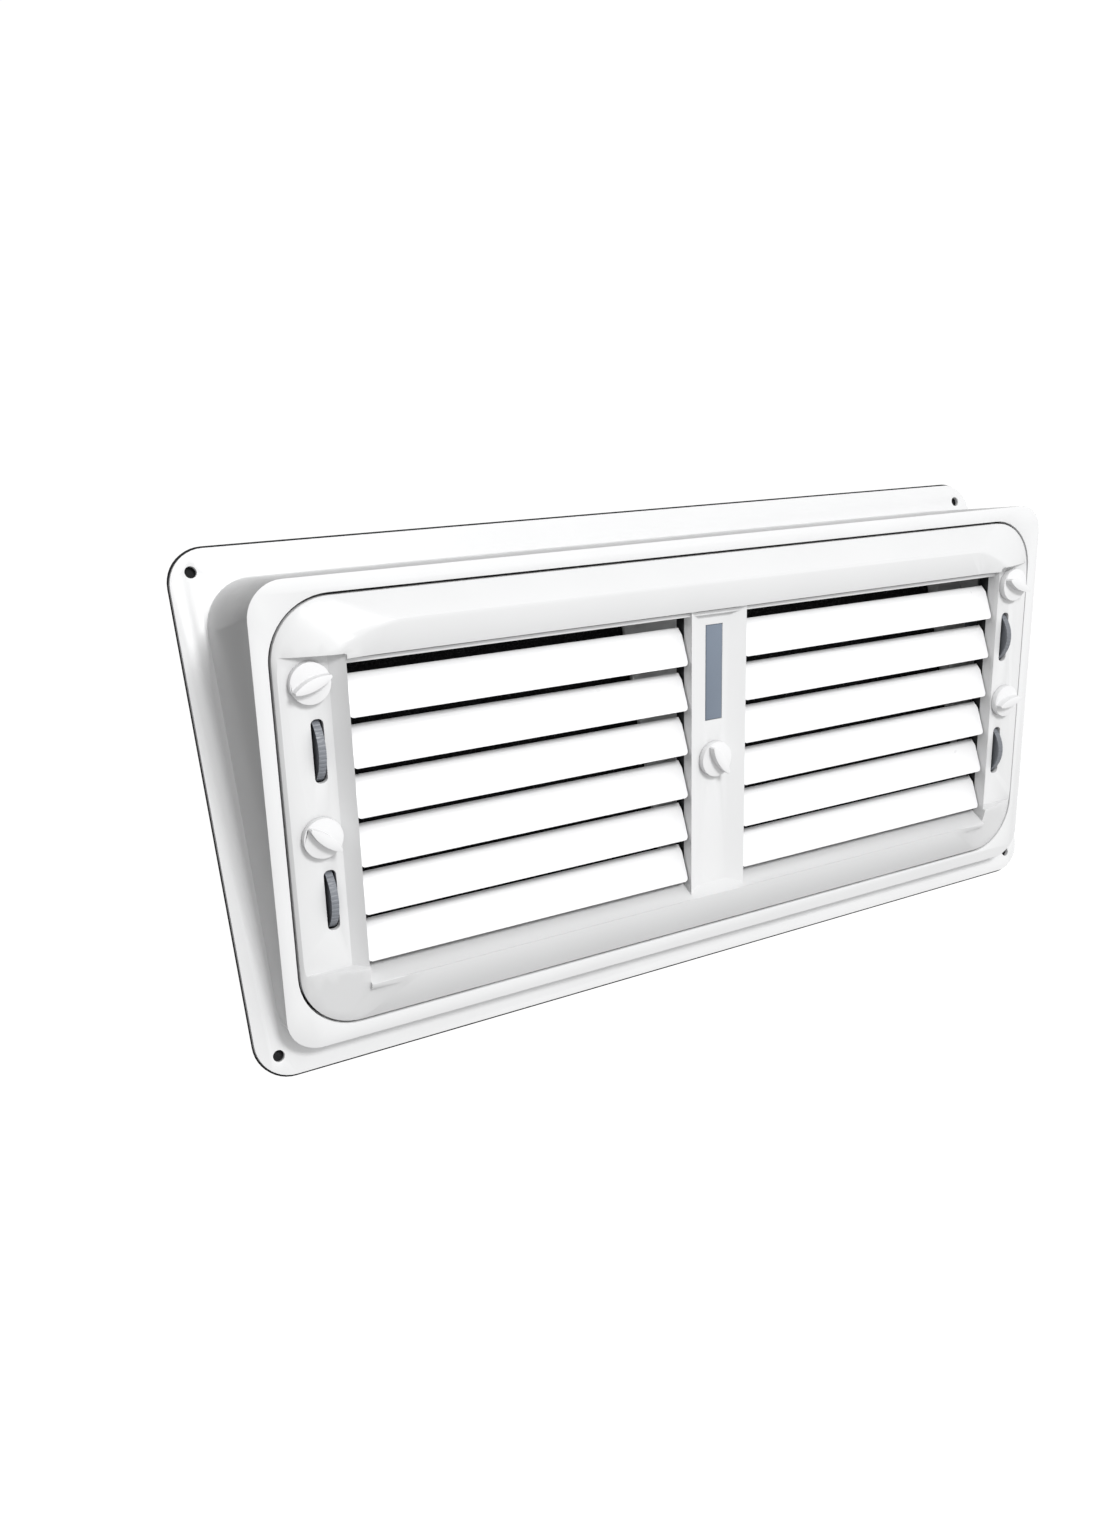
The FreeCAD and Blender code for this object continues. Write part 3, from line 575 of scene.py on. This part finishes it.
@dataclass
class FilterPad:
    """Open-cell foam pad, cut square with slightly crowned faces."""

    bench: Bench
    node: str = "filter_pad"
    crown: float = mm(1.2)
    trim: float = mm(1.0)
    corner: float = mm(3.0)
    cell_size: float = mm(6.0)
    smooth: float = math.radians(40)
    fill: float = 0.9

    def build(self) -> None:
        """Make the pad inside the space of its CAD solid."""
        low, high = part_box(self.node)
        self.bench.clear()
        trim = Vector((self.trim, self.trim, self.trim))
        bpy.ops.mesh.primitive_cube_add(size=1.0, location=(low + high) / 2,
                                        scale=high - low - trim)
        pad = bpy.context.active_object
        pad.name = "filter_pad_foam"
        bpy.ops.object.transform_apply(location=True, rotation=True, scale=True)
        bpy.ops.object.mode_set(mode="EDIT")
        bpy.ops.mesh.select_all(action="SELECT")
        bpy.ops.mesh.bevel(offset=self.corner, segments=3)
        bpy.ops.mesh.select_all(action="SELECT")
        bpy.ops.mesh.subdivide(number_cuts=3)
        bpy.ops.object.mode_set(mode="OBJECT")
        self.bench.pick(pad)
        grid = pad.modifiers.new("cells", "SUBSURF")
        grid.subdivision_type = "SIMPLE"
        grid.levels = 2
        grid.render_levels = 2
        bpy.ops.object.modifier_apply(modifier=grid.name)
        texture = bpy.data.textures.new("foam_surface", "CLOUDS")
        texture.noise_scale = self.cell_size
        press = pad.modifiers.new("press", "DISPLACE")
        press.texture = texture
        press.strength = -self.crown
        press.mid_level = 0.0
        press.texture_coords = "LOCAL"
        bpy.ops.object.modifier_apply(modifier=press.name)
        bpy.ops.object.shade_smooth_by_angle(angle=self.smooth)
        self.bench.finish(pad, BODY_OF[self.node], SLOT_OF[self.node], self.node)


@dataclass
class Gasket:
    """Foam gasket with a thin black disc in each of its holes, painted shade that makes the
    screw holes read dark.
    """

    bench: Bench
    node: str = "wall_gasket"
    inset: float = mm(12.5)
    # Size of the black discs of painted shade put in the screw holes.
    shade_disc_radius: float = mm(3.3)
    shade_disc_thick: float = mm(0.8)
    edge: float = mm(0.4)

    def build(self) -> None:
        """Make the gasket and the black discs of painted shade in its four holes."""
        gasket = self.bench.copy_of(self.node)
        self.bench.ease_edges(gasket, self.edge)
        low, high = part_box(self.node)
        flange_low, flange_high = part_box("wall_frame")
        depth = (low.y + high.y) / 2
        shade_discs = []
        for across in (flange_low.x + self.inset, flange_high.x - self.inset):
            for up in (flange_low.z + self.inset, flange_high.z - self.inset):
                self.bench.clear()
                # A black disc in the screw hole: painted shade, not a part of the gasket.
                bpy.ops.mesh.primitive_cylinder_add(
                    vertices=24, radius=self.shade_disc_radius, depth=self.shade_disc_thick,
                    location=(across, depth, up), rotation=(math.pi / 2, 0, 0))
                shade_discs.append(bpy.context.active_object)
        self.bench.pick(gasket)
        for shade_disc in shade_discs:
            shade_disc.select_set(True)
        bpy.ops.object.join()
        self.bench.finish(gasket, BODY_OF[self.node], SLOT_OF[self.node], self.node)


@dataclass
class PlainNodes:
    """CAD nodes whose shape is right and that only get their finish."""

    bench: Bench

    def build(self, replaced: set[str]) -> None:
        """Dress the CAD nodes that no piece stands for.

        Args:
            replaced: Names of the nodes that are already replaced.
        """
        for node, piece in frame["nodes"].items():
            if node in replaced:
                continue
            self.bench.paint.dress(piece, SLOT_OF[node])


# ---------------------------------------------------------------- studio


@dataclass
class Studio:
    """Camera, lights, floor and surroundings."""

    eye: tuple[float, float, float] = (-0.4769, -0.7240, 0.0318)
    right: tuple[float, float, float] = (0.854021, -0.494420, -0.161858)
    down: tuple[float, float, float] = (-0.174212, 0.021369, -0.984476)
    forward: tuple[float, float, float] = (0.490203, 0.868961, -0.067884)
    lens: float = 31.255
    shift: tuple[float, float] = (-0.01357, 0.02117)
    sensor: float = 36.0
    nearest: float = 0.01
    floor_level: float = -0.36
    floor_size: float = 12.0
    backdrop_level: float = 1.05
    key_spot: tuple[float, float, float] = (0.04, -2.2, 0.82)
    key_size: float = 0.5
    key_power: float = 36.0
    fill_level: float = 0.42
    fill_lean: tuple[float, float, float] = (0.25, -0.6, -0.08)
    fill_least: float = 0.12

    def camera(self) -> None:
        """Add the camera and make it the scene's."""
        data = bpy.data.cameras.new("camera")
        data.lens = self.lens
        data.sensor_width = self.sensor
        data.shift_x, data.shift_y = self.shift
        data.clip_start = self.nearest
        eye = bpy.data.objects.new("camera", data)
        up = -Vector(self.down)
        turn = Matrix((Vector(self.right), up, -Vector(self.forward))).transposed()
        eye.matrix_world = Matrix.Translation(Vector(self.eye)) @ turn.to_4x4()
        bpy.context.scene.collection.objects.link(eye)
        bpy.context.scene.camera = eye

    def softbox(self, name: str, spot: Vector, size: float, power: float) -> None:
        """A square area light aimed at the middle of the grille.

        Args:
            name: Name of the light.
            spot: Where it stands.
            size: Length of its side.
            power: Power in watts.
        """
        data = bpy.data.lights.new(name, "AREA")
        data.size = size
        data.energy = power
        lamp = bpy.data.objects.new(name, data)
        lamp.location = spot
        lamp.rotation_euler = (-spot).to_track_quat("-Z", "Y").to_euler()
        bpy.context.scene.collection.objects.link(lamp)

    def surroundings(self) -> None:
        """White to look at, softer as a source of light."""
        world = bpy.data.worlds.new("studio")
        world.use_nodes = True
        nodes = world.node_tree.nodes
        links = world.node_tree.links
        fill = nodes["Background"]
        fill.inputs["Color"].default_value = (1, 1, 1, 1)
        toward = nodes.new("ShaderNodeTexCoord")
        lean = nodes.new("ShaderNodeVectorMath")
        lean.operation = "DOT_PRODUCT"
        lean.inputs[1].default_value = self.fill_lean
        level = nodes.new("ShaderNodeMath")
        level.operation = "ADD"
        level.inputs[1].default_value = self.fill_level
        least = nodes.new("ShaderNodeMath")
        least.operation = "MAXIMUM"
        least.inputs[1].default_value = self.fill_least
        links.new(toward.outputs["Generated"], lean.inputs[0])
        links.new(lean.outputs["Value"], level.inputs[0])
        links.new(level.outputs["Value"], least.inputs[0])
        links.new(least.outputs["Value"], fill.inputs["Strength"])
        backdrop = nodes.new("ShaderNodeBackground")
        backdrop.inputs["Color"].default_value = (1, 1, 1, 1)
        backdrop.inputs["Strength"].default_value = self.backdrop_level
        seen = nodes.new("ShaderNodeLightPath")
        choice = nodes.new("ShaderNodeMixShader")
        links.new(seen.outputs["Is Camera Ray"], choice.inputs["Fac"])
        links.new(fill.outputs["Background"], choice.inputs[1])
        links.new(backdrop.outputs["Background"], choice.inputs[2])
        links.new(choice.outputs["Shader"], nodes["World Output"].inputs["Surface"])
        bpy.context.scene.world = world

    def floor(self) -> None:
        """A wide pale floor below the grille."""
        bpy.ops.object.select_all(action="DESELECT")
        bpy.ops.mesh.primitive_plane_add(size=self.floor_size,
                                         location=(0, 0, self.floor_level))
        ground = bpy.context.active_object
        ground.name = "floor"
        bpy.ops.object.transform_apply(location=True, rotation=True, scale=True)
        material = bpy.data.materials.new("pale_floor")
        material.use_nodes = True
        shader = material.node_tree.nodes["Principled BSDF"]
        shader.inputs["Base Color"].default_value = (0.1, 0.1, 0.1, 1)
        shader.inputs["Roughness"].default_value = 0.9
        shader.inputs["Specular IOR Level"].default_value = 0.0
        shader.inputs["Emission Color"].default_value = (1, 1, 1, 1)
        shader.inputs["Emission Strength"].default_value = 1.0
        ground.data.materials.append(material)
        ground.visible_diffuse = False
        ground.visible_glossy = False

    def build(self) -> None:
        """Set up the whole studio."""
        self.camera()
        self.surroundings()
        self.floor()
        self.softbox("key", Vector(self.key_spot), self.key_size, self.key_power)
        bpy.context.scene.view_settings.view_transform = "Standard"


def main() -> None:
    """Build the grille's looks and its studio."""
    Studio().build()
    bench = Bench(Paintshop())
    eased = EasedParts(bench)
    eased.build()
    replaced = {node for node in frame["nodes"] if eased.edge_of(node) is not None}
    for body in sorted(frame["bodies"]):
        if body.startswith("wheel_"):
            ThumbWheel(bench, body).build()
            replaced.add(body)
    Gasket(bench).build()
    replaced.add("wall_gasket")
    FilterPad(bench).build()
    replaced.add("filter_pad")
    PlainNodes(bench).build(replaced)


if __name__ == "__main__":
    main()
